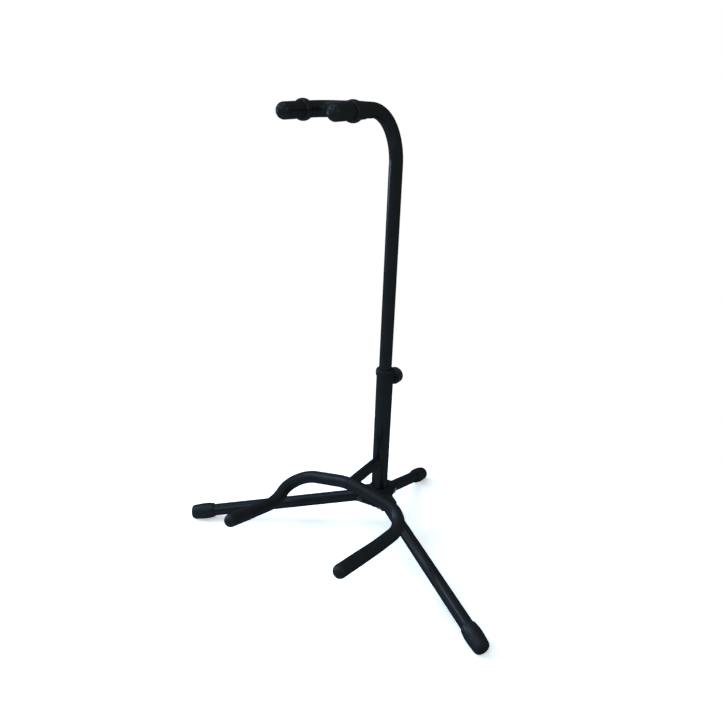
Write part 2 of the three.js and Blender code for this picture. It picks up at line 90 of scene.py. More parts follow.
def straightPoints(start, end, step):
    count = max(1, math.ceil((end - start).length / (step * mm)))
    return [start.lerp(end, k / count) for k in range(count)]


def routeFrom(points, normal):  # carries one side direction along the points without twist
    route = []
    distance = 0.0
    side = normal
    for k, point in enumerate(points):
        ahead = points[min(k + 1, len(points) - 1)]
        behind = points[max(k - 1, 0)]
        tangent = (ahead - behind).normalized()
        side = (side - tangent * side.dot(tangent)).normalized()
        if k:
            distance += (point - points[k - 1]).length
        route.append({"distance": distance / mm, "point": point, "tangent": tangent, "side": side})
    return route


def straightRoute(start, direction, length, normal=upward):
    return routeFrom([start, start + direction.normalized() * (length * mm)], normal)


def centredRoute(middle, direction, half):
    return straightRoute(middle - direction * (half * mm), direction, half * 2)


def mastAxis(length):
    return straightRoute(fromMast(0, 0, 0), upward, length, backward)


def acrossMast(height, front=0):  # runs back through the mast's axis
    return straightRoute(fromMast(0, -front, height), backward, acrossLength)


def routeLength(route):
    return route[-1]["distance"]


def frameAt(route, distance):  # the point there, and two directions across the route
    low, high = 0, len(route) - 1
    while high - low > 1:
        middle = (low + high) // 2
        if route[middle]["distance"] <= distance:
            low = middle
        else:
            high = middle
    a, b = route[low], route[high]
    share = (distance - a["distance"]) / (b["distance"] - a["distance"])
    point = a["point"].lerp(b["point"], share)
    inside = min(max(share, 0), 1)
    tangent = a["tangent"].lerp(b["tangent"], inside).normalized()
    side = a["side"].lerp(b["side"], inside)
    side = (side - tangent * side.dot(tangent)).normalized()
    return point, side, tangent.cross(side)


def curvature(route, distance):  # 1/mm, and the direction towards the inside of the bend
    before = frameAt(route, distance - bendReach)[0]
    after = frameAt(route, distance + bendReach)[0]
    inward = (before + after) / 2 - frameAt(route, distance)[0]
    return inward.length * 2 / (bendReach * bendReach * mm), inward


# Profiles: lists of [distance, radius]

def roundedCorner(distance, radius, edge, fromAngle, toAngle, steps):
    # an arc whose centre lies at [distance, radius]
    points = []
    for k in range(steps + 1):
        angle = math.radians(fromAngle + (toAngle - fromAngle) * k / steps)
        points.append([distance + edge * math.sin(angle), radius + edge * math.cos(angle)])
    return points


def firstEdge(distance, radius, edge, steps):  # the round edge where a body starts
    return roundedCorner(distance + edge, radius - edge, edge, -90, 0, steps)


def lastEdge(distance, radius, edge, steps):  # the round edge where a body ends
    return roundedCorner(distance - edge, radius - edge, edge, 0, 90, steps)


def domed(distance, radius, rise, angles):  # points of a dome that starts at [distance, radius]
    turns = [math.radians(angle) for angle in angles]
    return [[distance + rise * math.sin(turn), radius * math.cos(turn)] for turn in turns]


def evenly(start, end, step):
    count = max(1, math.ceil(abs(end - start) / step))
    return [start + (end - start) * k / count for k in range(count + 1)]


# Meshes

# Turns a profile about a route. shape may move a point of a ring.
def turnAlong(name, route, profile, sides, shape=None):
    vertices, rings, faces = [], [], []
    for distance, radius in profile:
        point, side, other = frameAt(route, distance)
        ring = []
        for i in range(1 if radius == 0 else sides):
            angle = 2 * math.pi * i / sides
            across = (radius * math.cos(angle), radius * math.sin(angle))
            if shape and radius:
                across = shape(distance, angle, radius)
            ring.append(len(vertices))
            vertices.append(point + side * (across[0] * mm) + other * (across[1] * mm))
        rings.append(ring)
    for a, b in zip(rings, rings[1:]):
        for i in range(sides):
            j = (i + 1) % sides
            corners = [a[i % len(a)], a[j % len(a)], b[j % len(b)], b[i % len(b)]]
            corners = list(dict.fromkeys(corners))
            if len(corners) > 2:
                faces.append(corners)
    if profile[0] == profile[-1] and len(rings[0]) > 1:  # a closed profile, such as a pipe's
        last = dict(zip(rings[-1], rings[0]))
        faces = [[last.get(v, v) for v in face] for face in faces]
    return newObject(name, vertices, faces)


def newObject(name, vertices, faces):
    mesh = bpy.data.meshes.new(name)
    mesh.from_pydata([tuple(v) for v in vertices], [], faces)
    build = bmesh.new()
    build.from_mesh(mesh)
    loose = [v for v in build.verts if not v.link_faces]
    bmesh.ops.delete(build, geom=loose, context="VERTS")
    bmesh.ops.recalc_face_normals(build, faces=build.faces)
    build.to_mesh(mesh)
    build.free()
    obj = bpy.data.objects.new(name, mesh)
    bpy.context.scene.collection.objects.link(obj)
    return obj


def smoothShade(obj, crease):  # smooth, with edges kept where the surface turns sharply
    build = bmesh.new()
    build.from_mesh(obj.data)
    for face in build.faces:
        face.smooth = True
    for edge in build.edges:
        if len(edge.link_faces) == 2:
            edge.smooth = edge.calc_face_angle() < math.radians(crease)
    build.to_mesh(obj.data)
    build.free()


def settle(obj, material, body, stands, crease=38):
    smoothShade(obj, crease)
    obj.data.materials.clear()
    obj.data.materials.append(material)
    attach(obj, body)
    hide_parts(*stands)


# Finishes. A pattern is noise, or cells where it names them.

class Finish:
    def __init__(self, name):
        self.material = bpy.data.materials.new(name)
        self.material.use_nodes = True
        self.tree = self.material.node_tree
        self.shader = self.tree.nodes["Principled BSDF"]
        self.place = self.add("ShaderNodeTexCoord").outputs["Object"]

    def add(self, kind, **settings):
        node = self.tree.nodes.new(kind)
        for key, value in settings.items():
            setattr(node, key, value)
        return node

    def join(self, output, socket):
        self.tree.links.new(output, socket)

    def plain(self, **values):  # constants go straight onto the shader's sockets
        for key, value in values.items():
            self.shader.inputs[key.replace("_", " ")].default_value = value

    def pattern(self, cells=0, scale=0, detail=3, roughness=0.55):
        node = self.add("ShaderNodeTexVoronoi" if cells else "ShaderNodeTexNoise")
        node.inputs["Scale"].default_value = cells or scale
        if scale:
            node.inputs["Detail"].default_value = detail
            node.inputs["Roughness"].default_value = roughness
        self.join(self.place, node.inputs["Vector"])
        return node.outputs["Distance" if cells else "Fac"]

    def ramp(self, value, span, low, high):
        node = self.add("ShaderNodeValToRGB")
        elements = node.color_ramp.elements
        elements[0].position, elements[0].color = span[0], (*low, 1)
        elements[1].position, elements[1].color = span[1], (*high, 1)
        self.join(value, node.inputs["Fac"])
        return node.outputs["Color"]

    def rescale(self, value, span, target):
        node = self.add("ShaderNodeMapRange")
        node.inputs["From Min"].default_value, node.inputs["From Max"].default_value = span
        node.inputs["To Min"].default_value, node.inputs["To Max"].default_value = target
        self.join(value, node.inputs["Value"])
        return node.outputs["Result"]

    def blend(self, share, first, second):
        node = self.add("ShaderNodeMix", data_type="RGBA")
        self.join(share, node.inputs["Factor"])
        self.join(first, node.inputs["A"])
        node.inputs["B"].default_value = (*second, 1)
        return node.outputs["Result"]

    def bump(self, look, below):
        node = self.add("ShaderNodeBump")
        node.inputs["Strength"].default_value = look["strength"]
        node.inputs["Distance"].default_value = look["depth"] * mm
        self.join(self.pattern(**look["pattern"]), node.inputs["Height"])
        if below:
            self.join(below, node.inputs["Normal"])
        return node.outputs["Normal"]


roughSpan = (0.3, 0.7)  # the middle of a noise's values
glossIndex = 4.0


def makeFinish(name, look):
    finish = Finish(name)
    inputs = finish.shader.inputs
    if "metal" in look:
        finish.plain(Metallic=look["metal"])
    else:  # all the gloss comes from a thin even skin over a matt base
        finish.plain(Specular_IOR_Level=0, Coat_IOR=glossIndex)
        finish.plain(Coat_Weight=look["gloss"], Coat_Roughness=look["glossRough"])
    cloud = finish.pattern(**look["cloud"])
    cloud = finish.ramp(cloud, look["cloudSpan"], look["low"], look["high"])
    spots = finish.rescale(finish.pattern(**look["spots"]), look["spotSpan"], look["spotShare"])
    finish.join(finish.blend(spots, cloud, look["spot"]), inputs["Base Color"])
    rough = finish.rescale(finish.pattern(**look["roughCloud"]), roughSpan, look["rough"])
    finish.join(rough, inputs["Roughness"])
    normal = None
    for bump in look["bumps"]:
        normal = finish.bump(bump, normal)
    finish.join(normal, inputs["Normal"])
    finish.join(normal, inputs["Coat Normal"])
    return finish.material


paintLook = {
    "low": (0.0038, 0.0052, 0.0060), "high": (0.0056, 0.0074, 0.0084),
    "cloud": {"scale": 35, "detail": 4}, "cloudSpan": (0.35, 0.65),
    "spot": (0.014, 0.016, 0.018), "spots": {"scale": 900, "detail": 2, "roughness": 0.6},
    "spotSpan": (0.68, 0.74), "spotShare": (0, 0.5),
    "rough": (0.30, 0.42), "roughCloud": {"scale": 120, "detail": 4},
    "bumps": [
        {"pattern": {"scale": 650, "detail": 2, "roughness": 0.5}, "strength": 0.10, "depth": 0.12},
        {"pattern": {"scale": 2600, "detail": 1, "roughness": 0.5}, "strength": 0.05, "depth": 0.04},
    ],
    "gloss": 0.0175, "glossRough": 0.25,
}
foamLook = {
    "low": (0.0044, 0.0058, 0.0066), "high": (0.0066, 0.0084, 0.0094),
    "cloud": {"scale": 60, "detail": 5, "roughness": 0.6}, "cloudSpan": (0.34, 0.66),
    "spot": (0.0026, 0.0032, 0.0036), "spots": {"cells": 1500},
    "spotSpan": (0.10, 0.30), "spotShare": (1, 0),
    "rough": (0.42, 0.54), "roughCloud": {"scale": 240, "detail": 3},
    "bumps": [
        {"pattern": {"scale": 160, "detail": 3, "roughness": 0.6}, "strength": 0.25, "depth": 0.25},
        {"pattern": {"cells": 1500}, "strength": 0.35, "depth": 0.08},
    ],
    "gloss": 0.0180, "glossRough": 0.36,
}
rubberLook = {
    "low": (0.0044, 0.0056, 0.0062), "high": (0.0068, 0.0084, 0.0092),
    "cloud": {"scale": 90, "detail": 4}, "cloudSpan": (0.35, 0.65),
    "spot": (0.024, 0.029, 0.036), "spots": {"scale": 420, "detail": 4, "roughness": 0.65},
    "spotSpan": (0.50, 0.72), "spotShare": (0, 0.22),
    "rough": (0.46, 0.64), "roughCloud": {"scale": 300, "detail": 3},
    "bumps": [
        {"pattern": {"scale": 1300, "detail": 3, "roughness": 0.6}, "strength": 0.30, "depth": 0.10},
    ],
    "gloss": 0.0170, "glossRough": 0.34,
}
plasticLook = {
    "low": (0.0042, 0.0054, 0.0060), "high": (0.0062, 0.0078, 0.0086),
    "cloud": {"scale": 70, "detail": 3}, "cloudSpan": (0.35, 0.65),
    "spot": (0.034, 0.038, 0.042), "spots": {"scale": 1100, "detail": 2, "roughness": 0.6},
    "spotSpan": (0.42, 0.62), "spotShare": (0, 0.1),
    "rough": (0.36, 0.50), "roughCloud": {"scale": 200, "detail": 3},
    "bumps": [{"pattern": {"scale": 1800, "detail": 2}, "strength": 0.22, "depth": 0.06}],
    "gloss": 0.0160, "glossRough": 0.34,
}
mattLook = {
    **plasticLook, "low": (0.0054, 0.0068, 0.0074), "high": (0.0078, 0.0096, 0.0104),
    "gloss": 0.0085, "glossRough": 0.42,
}
zincLook = {
    "low": (0.50, 0.50, 0.47), "high": (0.74, 0.74, 0.70), "metal": 1.0,
    "cloud": {"scale": 260, "detail": 4}, "cloudSpan": (0.35, 0.65),
    "spot": (0.20, 0.19, 0.17), "spots": {"scale": 700, "detail": 3, "roughness": 0.65},
    "spotSpan": (0.58, 0.75), "spotShare": (0, 0.6),
    "rough": (0.22, 0.42), "roughCloud": {"scale": 900, "detail": 3},
    "bumps": [{"pattern": {"scale": 1500, "detail": 2}, "strength": 0.15, "depth": 0.04}],
}
darkSteelLook = {
    **zincLook, "low": (0.012, 0.013, 0.014), "high": (0.024, 0.025, 0.025),
    "spot": (0.008, 0.009, 0.009), "rough": (0.14, 0.24),
}

paint = makeFinish("satin_black_paint", paintLook)
foam = makeFinish("black_foam_rubber", foamLook)
footRubber = makeFinish("foot_rubber", rubberLook)
ringRubber = makeFinish("ring_rubber", {**rubberLook, "spotShare": (0, 0.20)})
plastic = makeFinish("black_moulded_plastic", plasticLook)
mattPlastic = makeFinish("matt_moulded_plastic", mattLook)
knobPlastic = makeFinish("knob_plastic", {**plasticLook, "spotShare": (0, 0.9)})
zinc = makeFinish("zinc_plate", zincLook)
darkSteel = makeFinish("blackened_steel", darkSteelLook)
print("finishes made")


# Camera, at the photograph's place

camera = {
    "fromMast": (422.75, -759.73, 627.61), "azimuth": 31.461, "elevation": 21.742,
    "roll": -2.107, "focalPixels": 628.52, "imagePixels": 723, "sensor": 36,
    "clip": (0.05, 30),  # metres
}


def placeCamera(look):
    azimuth, elevation = math.radians(look["azimuth"]), math.radians(look["elevation"])
    roll = math.radians(look["roll"])
    ahead = Vector((
        -math.sin(azimuth) * math.cos(elevation),
        math.cos(azimuth) * math.cos(elevation),
        -math.sin(elevation),
    ))
    right = Vector((math.cos(azimuth), math.sin(azimuth), 0))
    down = ahead.cross(right)
    imageRight = right * math.cos(roll) + down * math.sin(roll)
    imageDown = down * math.cos(roll) - right * math.sin(roll)
    turn = Matrix((imageRight, -imageDown, -ahead)).transposed().to_4x4()
    data = bpy.data.cameras.new("camera")
    data.sensor_width = look["sensor"]
    data.lens = look["focalPixels"] / look["imagePixels"] * look["sensor"]
    data.clip_start, data.clip_end = look["clip"]
    obj = bpy.data.objects.new("camera", data)
    obj.matrix_world = Matrix.Translation(fromMast(*look["fromMast"])) @ turn
    bpy.context.scene.collection.objects.link(obj)
    bpy.context.scene.camera = obj


placeCamera(camera)
print("camera placed")


# Mast. shapedFrom is the radius past which a ring is on the outside, here and below.

lowerTube = {
    "radius": 12.7, "bore": 11.5, "bottom": 37.4, "top": 261, "lip": 0.35, "lipSteps": 3,
    "sides": 64,
}
basePlug = {
    "radius": 12.7, "stem": 11.2, "bottom": 35, "top": 49.1, "flange": 2.1, "edge": 0.8,
    "edgeSteps": 4, "sides": 48, "axis": 100,
    "hollow": [(0.9, 0), (0.9, 6.985), (0.18, 8.89)],  # height over the bottom, and radius
}
bushing = {
    "radius": 14, "bore": 9.6, "skirt": 11.2, "seat": 261.3, "height": 10.8, "skirtDepth": 8,
    "round": 4.0, "roundSteps": 9, "foot": 1.2, "footSteps": 4, "sides": 64, "axis": 300,
}
upperTube = {
    "radius": 9.5, "bore": 8.3, "bottom": 170, "height": 628.6, "bend": 67, "forward": 119.5,
    "flattening": 0.8, "markLength": 5, "shapedFrom": 8.8, "sides": 48, "step": 3,
    "insideStep": 12,
}


def makeLowerTube(look):
    low, high, bore = look["bottom"], look["top"], look["bore"]
    profile = [[low, bore]]
    profile += firstEdge(low, look["radius"], look["lip"], look["lipSteps"])
    profile += lastEdge(high, look["radius"], look["lip"], look["lipSteps"])
    profile += [[high, bore], [low, bore]]
    obj = turnAlong("lower_tube_body", mastAxis(high), profile, look["sides"])
    settle(obj, paint, "base", ["mast_lower_tube"])


def makeBasePlug(look):
    bottom, radius, stem = look["bottom"], look["radius"], look["stem"]
    profile = [[bottom + height, inner] for height, inner in look["hollow"]]
    profile += firstEdge(bottom, radius, look["edge"], look["edgeSteps"])
    profile += [[bottom + look["flange"], radius], [bottom + look["flange"], stem]]
    profile += [[look["top"], stem], [look["top"], 0]]
    obj = turnAlong("base_plug_body", mastAxis(look["axis"]), profile, look["sides"])
    settle(obj, plastic, "base", ["mast_base_plug"])


def makeBushing(look):
    seat, top, bore = look["seat"], look["seat"] + look["height"], look["bore"]
    low = seat - look["skirtDepth"]
    profile = [[low, bore], [low, look["skirt"]], [seat, look["skirt"]]]
    profile += firstEdge(seat, look["radius"], look["foot"], look["footSteps"])
    profile += lastEdge(top, look["radius"], look["round"], look["roundSteps"])
    profile += [[top, bore], [low, bore]]
    obj = turnAlong("collar_bushing_bead", mastAxis(look["axis"]), profile, look["sides"])
    settle(obj, mattPlastic, "base", ["mast_collar_bushing"])


def makeUpperTube(look):
    corners = [
        fromMast(0, 0, look["bottom"]),
        fromMast(0, 0, look["height"]),
        fromMast(0, -look["forward"], look["height"]),
    ]
    route = bentRoute(corners, [look["bend"]], look["step"], backward)
    length = routeLength(route)
    bendStart = look["height"] - look["bend"] - look["bottom"]
    bendEnd = bendStart + look["bend"] * math.pi / 2

    def flattened(distance, angle, radius):  # the bender leaves the bend's inside a little flat
        within = min(distance - bendStart, bendEnd - distance) / look["markLength"]
        facing = max(0, -math.cos(angle)) ** 2
        if radius > look["shapedFrom"]:
            radius -= look["flattening"] * min(max(within, 0), 1) * facing
        return radius * math.cos(angle), radius * math.sin(angle)

    outside = [[d, look["radius"]] for d in evenly(0, length, look["step"])]
    inside = [[d, look["bore"]] for d in evenly(length, 0, look["insideStep"])]
    profile = outside + inside + outside[:1]
    obj = turnAlong("upper_tube_body", route, profile, look["sides"], flattened)
    settle(obj, paint, "mast_upper", ["mast_upper_tube"])


makeLowerTube(lowerTube)
makeBasePlug(basePlug)
makeBushing(bushing)
makeUpperTube(upperTube)
print("mast made")


# Hub: the CAD form with its edges rounded as in a moulding

hub = {
    "voxel": 0.55, "smoothing": 0.5, "repeats": 5, "bore": 12.78, "boreWall": 13.6,
    "top": 67, "topBand": 2, "fillet": 2.6, "filletRise": 1.4, "crease": 80,
}


def makeHub(look):
    obj = bpy.data.objects.new("hub_moulding", nodes["hub_collar"].data.copy())
    bpy.context.scene.collection.objects.link(obj)
    remesh = obj.modifiers.new("remesh", "REMESH")
    remesh.mode = "VOXEL"
    remesh.voxel_size = look["voxel"] * mm
    soften = obj.modifiers.new("soften", "SMOOTH")
    soften.factor = look["smoothing"]
    soften.iterations = look["repeats"]
    applyModifiers(obj)
    for vertex in obj.data.vertices:  # the bore closes up to the tube, and the top rises to it
        radius = math.hypot(vertex.co.x, vertex.co.y - mastY) / mm
        near = (look["bore"] + look["fillet"] - radius) / look["fillet"]
        if near > 0 and vertex.co.z / mm > look["top"] - look["topBand"]:
            vertex.co.z += look["filletRise"] * min(near, 1) ** 2 * mm
        if radius < look["boreWall"]:
            vertex.co.x *= look["bore"] / radius
            vertex.co.y = mastY + (vertex.co.y - mastY) * look["bore"] / radius
    settle(obj, mattPlastic, "base", ["hub_collar"], look["crease"])


def applyModifiers(obj):
    bpy.context.view_layer.update()
    depsgraph = bpy.context.evaluated_depsgraph_get()
    done = bpy.data.meshes.new_from_object(obj.evaluated_get(depsgraph))
    obj.modifiers.clear()
    obj.data = done


makeHub(hub)
print("hub made")


# Legs

leg = {
    "radius": 9.4, "hubHeight": 54, "pivotRadius": 31, "footFloor": 7,
    "reach": {"front_right": 302, "front_left": 302, "rear": 161},
    "endAngles": (0, 8, 16, 26, 38, 52, 70, 90), "thinnest": 0.1, "tubeFrom": 8, "step": 12,
    "sides": 48,
}
rivet = {
    "radius": 2.8, "head": 5.2, "rise": 2.4, "seat": 11.6, "brim": 0.4,
    "domeAngles": (20, 40, 60, 75), "half": 20, "sides": 32,
}
foot = {
    "length": 36, "bore": 9.7, "rim": 10.9, "belly": 12.5, "tip": 10.8, "rimEdge": 1.2,
    "rimSteps": 4, "bellyFrom": 13, "step": 1.2, "tread": 19, "taper": 1.4, "ribs": 2.3,
    "ribDepth": 0.30, "ribStep": 0.35, "tipEdge": 3.6, "tipFrom": 20, "tipSteps": 5,
    "floor": 7, "floorGap": 0.3, "hollow": 0.5, "hollowShare": 0.55, "sides": 64,
}


def makeLeg(side, look):
    route, axis = legRoute(side, look)
    end = routeLength(route) - look["footFloor"]
    radius = look["radius"]

    def roundEnd(distance, angle, size):  # the end over the rivet is round as seen from the side
        rise, width = size * math.cos(angle), size * math.sin(angle)
        if distance < 0:
            limit = math.sqrt(max(radius ** 2 - distance ** 2, look["thinnest"] ** 2))
            rise = max(-limit, min(limit, rise))
        return rise, width

    profile = [[-radius, 0]]
    profile += [[-radius * math.cos(math.radians(a)), radius] for a in look["endAngles"]]
    profile += [[d, radius] for d in evenly(look["tubeFrom"], end, look["step"])] + [[end, 0]]
    obj = turnAlong("leg_tube_body_" + side, route, profile, look["sides"], roundEnd)
    settle(obj, paint, "leg_" + side, ["leg_tube_" + side])
    makeRivet(side, route[0]["point"], axis, rivet)
    makeFoot(side, route, foot)


def legRoute(side, look):  # from the rivet's axis to the tip of the foot
    joint = joints["leg_fold_" + side]
    pivot = Vector(joint["pos_m"])
    axis = Vector(joint["axis"])
    out = axis.cross(upward)
    slope = math.atan2(look["hubHeight"] - pivot.z / mm, look["pivotRadius"])
    length = (look["reach"][side] - look["pivotRadius"]) / math.cos(slope)
    direction = out * math.cos(slope) - upward * math.sin(slope)
    return straightRoute(pivot, direction, length), axis


def makeRivet(side, pivot, axis, look):
    half, seat, head, brim = look["half"], look["seat"], look["head"], look["brim"]
    end = [[seat, look["radius"]], [seat, head], [seat + brim, head]]
    end += domed(seat + brim, head, look["rise"] - brim, look["domeAngles"])
    end += [[seat + look["rise"], 0]]
    profile = [[half - d, r] for d, r in reversed(end)] + [[half + d, r] for d, r in end]
    route = centredRoute(pivot, axis, half)
    obj = turnAlong("leg_rivet_head_" + side, route, profile, look["sides"])
    settle(obj, darkSteel, "base", ["leg_rivet_" + side])


def makeFoot(side, route, look):
    tip = routeLength(route)
    rim = tip - look["length"]
    belly = rim + look["bellyFrom"]
    split = tip - look["tread"]
    edge, tipEdge = look["rimEdge"], look["tipEdge"]

    def outerRadius(distance):  # swells from the rim to the belly, then tapers to the ribbed tip
        if distance < belly:
            share = (distance - rim) / (belly - rim)
            return look["rim"] + (look["belly"] - look["rim"]) * math.sin(share * math.pi / 2)
        share = max(0, distance - split) / (tip - split)
        radius = look["belly"] + (look["tip"] - look["belly"]) * share ** look["taper"]
        rib = 0.5 - 0.5 * math.cos(2 * math.pi * (distance - split) / look["ribs"])
        return radius - (look["ribDepth"] * rib ** 2 if distance > split else 0)

    boreEnd = tip - look["floor"] + look["floorGap"]
    plainPart = evenly(rim + edge, split, look["step"])
    ribbedPart = evenly(split + look["ribStep"], tip - tipEdge, look["ribStep"])
    profile = [[boreEnd, 0], [boreEnd, look["bore"]], [rim, look["bore"]]]
    profile += firstEdge(rim, look["rim"], edge / 2, look["rimSteps"])
    profile += [[d, outerRadius(d)] for d in plainPart + ribbedPart]
    profile += roundedCorner(
        tip - tipEdge, look["tip"] - tipEdge, tipEdge, look["tipFrom"], 90, look["tipSteps"],
    )
    hollow = tip - look["hollow"]
    profile += [[hollow, look["tip"] * look["hollowShare"]], [hollow, 0]]
    obj = turnAlong("foot_cap_body_" + side, route, profile, look["sides"])
    for vertex in obj.data.vertices:  # the flat that the foot stands on
        vertex.co.z = max(vertex.co.z, 0)
    settle(obj, footRubber, "leg_" + side, ["foot_cap_" + side])


for side in leg["reach"]:
    makeLeg(side, leg)
print("legs made")


# Foam sleeves, each from the middle of its tube to past the tube's end

sleeve = {
    "gap": 0.15, "lip": 0.7, "lipSteps": 4, "afterLip": 1, "beforeCap": 0.5, "capSteps": 12,
    "boreGap": 0.3, "wrinkle": 0.05, "wrinkleBend": 0.02, "straightBend": 1e-4,
    "swellLengths": (23, 9.1), "sides": 56, "crease": 60,
}


def makeSleeve(name, route, look, phase, body, stand):
    shape = foamShape(route, look, phase)
    obj = turnAlong(name, route, foamProfile(route, look), look["sides"], shape)
    settle(obj, foam, body, [stand], look["crease"])


def foamShape(route, look, phase):  # creases inside the bends, and a soft swell all along
    cache = {}

    def shape(distance, angle, radius):
        if radius > look["shapedFrom"]:
            if distance not in cache:
                bend, inward = curvature(route, distance)
                _, side, other = frameAt(route, distance)
                straight = bend <= look["straightBend"]
                lean = 0 if straight else math.atan2(inward.dot(other), inward.dot(side))
                cache[distance] = (min(bend / look["wrinkleBend"], 1), lean)
            share, lean = cache[distance]
            facing = max(0, math.cos(angle - lean)) ** 2
            crease = math.sin(2 * math.pi * distance / look["wrinkleLength"] + phase)
            radius += look["wrinkle"] * share * facing * crease * abs(crease)
            along = math.sin(distance / look["swellLengths"][0] + phase)
            around = math.sin(distance / look["swellLengths"][1] + 2 * angle + phase)
            radius += look["swell"] * (along + around) / 2
        return radius * math.cos(angle), radius * math.sin(angle)

    return shape


def foamProfile(route, look):
    length = routeLength(route)
    start = length / 2 + look["gap"]
    radius, lip = look["radius"], look["lip"]
    boreEnd = length + look["boreGap"]
    outer = evenly(start + lip + look["afterLip"], length - look["beforeCap"], look["step"])
    profile = [[boreEnd, 0]]
    profile += [[d, look["bore"]] for d in evenly(boreEnd, start, look["step"] * 2)]
    profile += firstEdge(start, radius, lip, look["lipSteps"])
    profile += [[d, radius] for d in outer]
    capAngles = [90 * k / look["capSteps"] for k in range(look["capSteps"])]
    profile += domed(length, radius, radius, capAngles)
    profile.append([length + radius, 0])
    return profile


# Cradle

cradle = {
    **sleeve, "radius": 9.25, "bore": 6.3, "shapedFrom": 7.3, "step": 1.6,
    "wrinkleLength": 5.2, "swell": 0.10, "bends": [85, 34, 104, 34, 85],
    "tip": (88.8, -245.5, 109), "knee": (88.3, -153.5, 86.6),
    "shoulder": (103.6, -86.4, 95.6), "apex": (0, -89, 119.3),
}
strut = {
    "radius": 8, "bore": 6.8, "front": 3.3, "back": 12, "tubeFrom": 6, "step": 8, "sides": 48,
}
strutBolt = {
    "radius": 3, "reach": 26, "head": 6.5, "rise": 5, "seat": 14.5, "brim": 0.8,
    "domeAngles": (12, 25, 38, 50, 60), "sides": 36,
    "recess": [(0, 2.2), (1.2, 1.76), (1.2, 0)],  # depth and radius
}
washer = {
    "radius": 7.4, "bore": 3.3, "near": 13, "thickness": 1.2, "edge": 0.3, "sides": 40,
}


def cradleRoute(side):  # from the tip on the other side to the tip on this one
    def mark(key, side):
        x, y, z = cradle[key]
        return fromMast(x * side, y, z)

    marks = [mark(key, -side) for key in ("tip", "knee", "shoulder")]
    marks += [mark(key, side) for key in ("apex", "shoulder", "knee", "tip")]
    return bentRoute(marks, cradle["bends"])


def makeStrut(look):
    bar = cradleRoute(1)
    apex = frameAt(bar, routeLength(bar) / 2)[0]
    start = apex + backward * (look["front"] * mm)
    length = (mastY - start.y) / mm - look["back"]
    profile = [[0, look["bore"]], [0, look["radius"]]]
    profile += [[d, look["radius"]] for d in evenly(look["tubeFrom"], length, look["step"])]
    profile += [[length, look["bore"]], [0, look["bore"]]]
    route = straightRoute(start, backward, length)
    obj = turnAlong("strut_body", route, profile, look["sides"])
    settle(obj, paint, "base", ["cradle_strut"])
    return apex.z / mm


def makeStrutBolt(height, look):
    seat, head, brim = look["reach"] + look["seat"], look["head"], look["brim"]
    top = seat + look["rise"]
    profile = [[0, 0], [0, look["radius"]], [seat, look["radius"]], [seat, head]]
    profile += [[seat + brim, head]]
    profile += domed(seat + brim, head, look["rise"] - brim, look["domeAngles"])
    profile += [[top - depth, radius] for depth, radius in look["recess"]]
    route = acrossMast(height, look["reach"])
    obj = turnAlong("strut_bolt_head", route, profile, look["sides"])
    settle(obj, zinc, "base", ["strut_bolt"])


def makeWasher(height, look):
    near, far = look["near"], look["near"] + look["thickness"]
    radius, bore, edge = look["radius"], look["bore"], look["edge"]
    profile = [[near, bore], [near, radius - edge], [near + edge, radius]]
    profile += [[far - edge, radius], [far, radius - edge], [far, bore], [near, bore]]
    obj = turnAlong("strut_washer_disc", acrossMast(height), profile, look["sides"])
    settle(obj, zinc, "base", ["strut_washer"])


for name, side in bothSides.items():
    stand = "cradle_sleeve_" + name
    makeSleeve("cradle_foam_" + name, cradleRoute(side), cradle, side, "base", stand)
strutHeight = makeStrut(strut)
makeStrutBolt(strutHeight, strutBolt)
makeWasher(strutHeight, washer)
print("cradle made")


# Height clamp

clamp = {"height": 250, "mast": 12.7}
boss = {
    "radius": 7, "bore": 3.3, "reach": 8.4, "root": 2.6, "weld": 1.3, "weldFade": 0.9,
    "edge": 0.5, "edgeSteps": 3, "beforeEdge": 0.4, "step": 0.5, "shapedFrom": 4.3, "sides": 48,
}
knob = {
    "radius": 12.6, "edge": 1.6, "edgeSteps": 5, "flutes": 18, "fluteDepth": 0.75,
    "shapedFrom": 10.9, "grip": 12, "besideEdge": 0.5, "step": 1.5, "neck": 8,
    "neckLength": 2.4, "neckEdge": 0.3, "seat": 21.4, "bore": 3.3, "boreEnd": 34.1,
    "sides": 144,
    "face": [  # the dish and its button: depth and radius
        (0, 8.0), (0.3, 7.6), (1.2, 6.7), (1.2, 3.9), (0.7, 3.4), (0.4, 2.04), (0.35, 0),
    ],
}


def makeBoss(look):
    start, end = clamp["mast"] - look["root"], clamp["mast"] + look["reach"]

    def weld(distance, angle, radius):  # the bead follows the round of the tube
        if radius > look["shapedFrom"]:
            surface = math.sqrt(clamp["mast"] ** 2 - (radius * math.sin(angle)) ** 2)
            radius += look["weld"] * math.exp(-max(0, distance - surface) / look["weldFade"])
        return radius * math.cos(angle), radius * math.sin(angle)

    outer = evenly(start, end - look["edge"] - look["beforeEdge"], look["step"])
    profile = [[start, look["bore"]]] + [[d, look["radius"]] for d in outer]
    profile += lastEdge(end, look["radius"], look["edge"], look["edgeSteps"])
    profile += [[end, look["bore"]], [start, look["bore"]]]
    route = acrossMast(clamp["height"])
    obj = turnAlong("knob_boss_body", route, profile, look["sides"], weld)
    settle(obj, paint, "base", ["knob_boss"])


